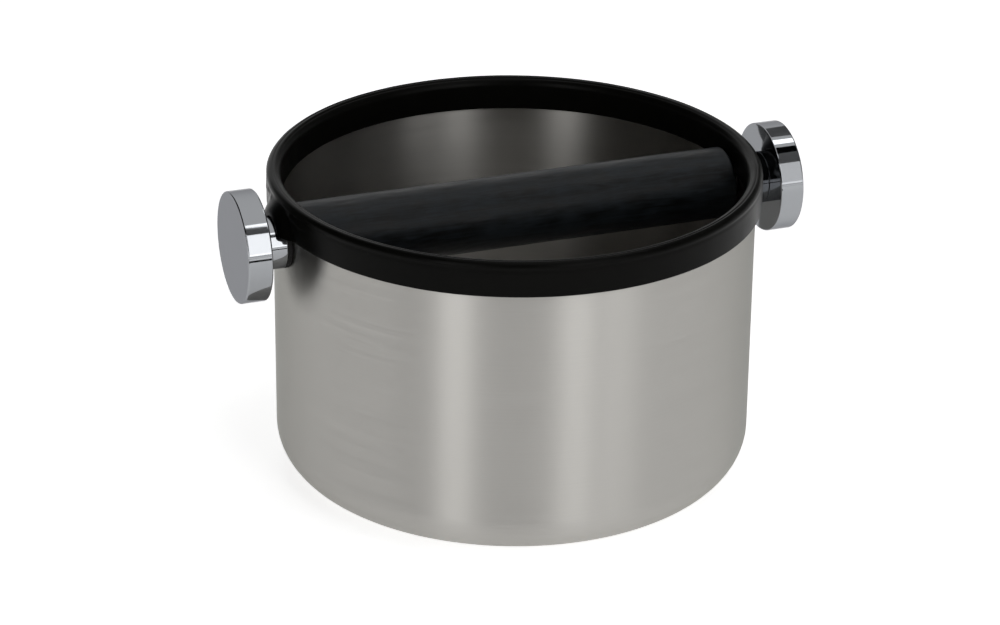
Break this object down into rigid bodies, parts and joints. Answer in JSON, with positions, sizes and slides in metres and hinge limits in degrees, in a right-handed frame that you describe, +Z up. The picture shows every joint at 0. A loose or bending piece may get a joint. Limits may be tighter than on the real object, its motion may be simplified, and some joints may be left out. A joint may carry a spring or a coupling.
{
  "type": "espresso knock box",
  "caption": "Round steel bowl with a rubber rim ring and a rubber-covered bar across its mouth, held by a chromed knob at each end, for knocking out spent coffee.",
  "frame": {"origin": "middle of the bowl's base, on the surface that the box stands on", "axes": "+Z up, +X along the knocking bar towards the right-hand knob as seen from the front, +Y to the back"},
  "size_m": [0.2004, 0.1692, 0.1112],
  "materials": {
    "brushed_steel": "stainless steel, finely brushed round the bowl",
    "ring_rubber": "moulded black rubber with a low gloss",
    "sleeve_rubber": "extruded black rubber, matt and finely scuffed along its length",
    "washer_rubber": "plain black rubber sheet",
    "chrome": "turned and chromed to a mirror",
    "plain_steel": "bright zinc-plated steel"
  },
  "bodies": {
    "bowl": {"bowl": "brushed_steel"},
    "rim_ring": {"rim_ring": "ring_rubber"},
    "bar": {"bar_sleeve": "sleeve_rubber", "bar_tube": "plain_steel", "bar_end_plug_left": "plain_steel", "bar_end_plug_right": "plain_steel", "inner_washer_left": "plain_steel", "inner_washer_right": "plain_steel"},
    "washer_left": {"outer_washer_left": "washer_rubber"},
    "washer_right": {"outer_washer_right": "washer_rubber"},
    "knob_left": {"knob_disc_left": "chrome", "knob_collar_left": "chrome", "knob_stud_left": "plain_steel"},
    "knob_right": {"knob_disc_right": "chrome", "knob_collar_right": "chrome", "knob_stud_right": "plain_steel"}
  },
  "joints": [
    {"name": "rim_ring_lift", "type": "slide", "parent": "bowl", "child": "rim_ring", "axis": [0, 0, 1], "range_m": [0, 0.06]},
    {"name": "bar_turn", "type": "hinge", "parent": "bowl", "child": "bar", "pos_m": [0, 0, 0.0922], "axis": [1, 0, 0], "continuous": true},
    {"name": "knob_left_travel", "type": "slide", "parent": "bowl", "child": "washer_left", "axis": [-1, 0, 0], "range_m": [0, 0.012]},
    {"name": "knob_left_turn", "type": "hinge", "parent": "washer_left", "child": "knob_left", "pos_m": [0, 0, 0.0922], "axis": [-1, 0, 0], "range_deg": [0, 4320]},
    {"name": "knob_right_travel", "type": "slide", "parent": "bowl", "child": "washer_right", "axis": [1, 0, 0], "range_m": [0, 0.012]},
    {"name": "knob_right_turn", "type": "hinge", "parent": "washer_right", "child": "knob_right", "pos_m": [0, 0, 0.0922], "axis": [1, 0, 0], "range_deg": [0, 4320]}
  ],
  "couplings": [
    {"joint": "knob_left_travel", "follows": "knob_left_turn", "m_per_rad": 0.00015915},
    {"joint": "knob_right_travel", "follows": "knob_right_turn", "m_per_rad": 0.00015915}
  ]
}
